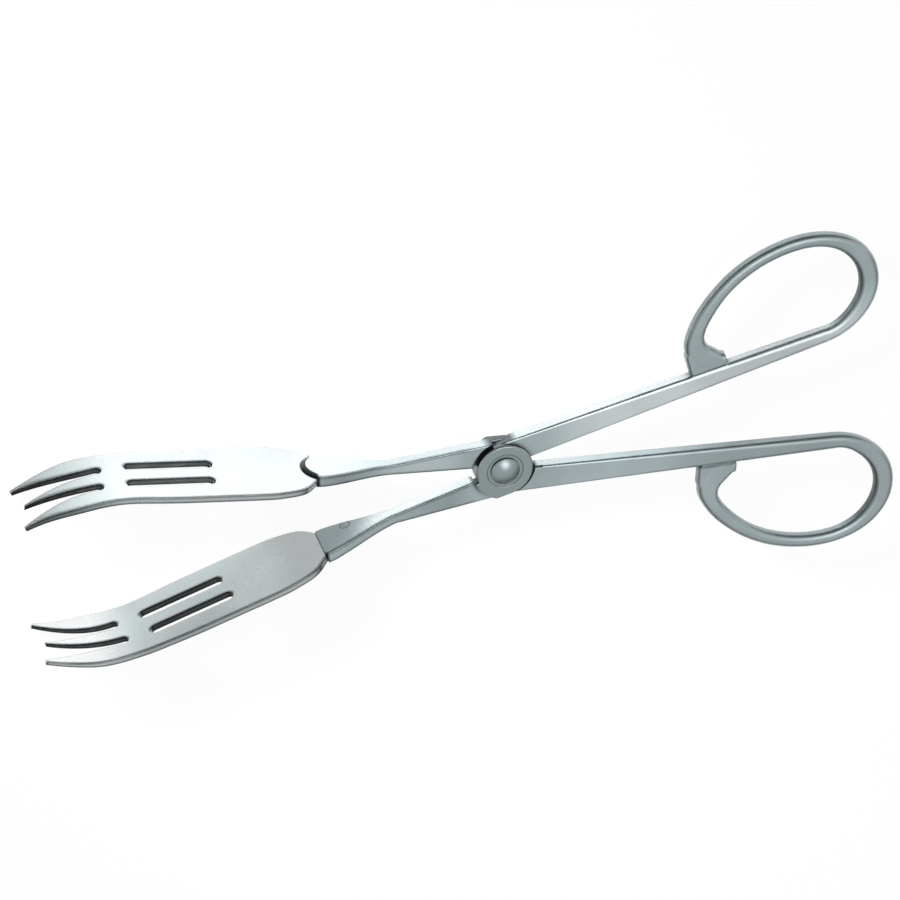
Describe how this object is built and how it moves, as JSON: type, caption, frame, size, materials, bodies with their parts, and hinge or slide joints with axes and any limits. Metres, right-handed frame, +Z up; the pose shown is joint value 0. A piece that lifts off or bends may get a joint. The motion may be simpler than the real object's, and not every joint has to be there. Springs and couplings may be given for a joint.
{
  "type": "kitchen tongs",
  "caption": "Scissor-action steel kitchen tongs: crossed arms with curved, slotted, pronged forks at one end and finger loops at the other, joined by a domed rivet.",
  "frame": {"origin": "centre of the bounding box, on the plane that the tongs lie on", "axes": "+X along the tongs towards the finger loops, +Y across them in the plane they open in, +Z up along the rivet"},
  "size_m": [0.247, 0.1038, 0.0246],
  "materials": {
    "arm_steel": "satin, softly polished stainless steel bar",
    "fork_steel": "satin stainless steel sheet",
    "rivet_steel": "polished stainless steel"
  },
  "bodies": {
    "front_half": {"front_arm": "arm_steel", "front_fork": "fork_steel", "pivot_rivet": "rivet_steel"},
    "rear_half": {"rear_arm": "arm_steel", "rear_fork": "fork_steel"}
  },
  "joints": [
    {"name": "pivot_hinge", "type": "hinge", "parent": "front_half", "child": "rear_half", "pos_m": [0.01188, 0, 0.0123], "axis": [0, 0, -1], "range_deg": [-18.3, 30]}
  ]
}
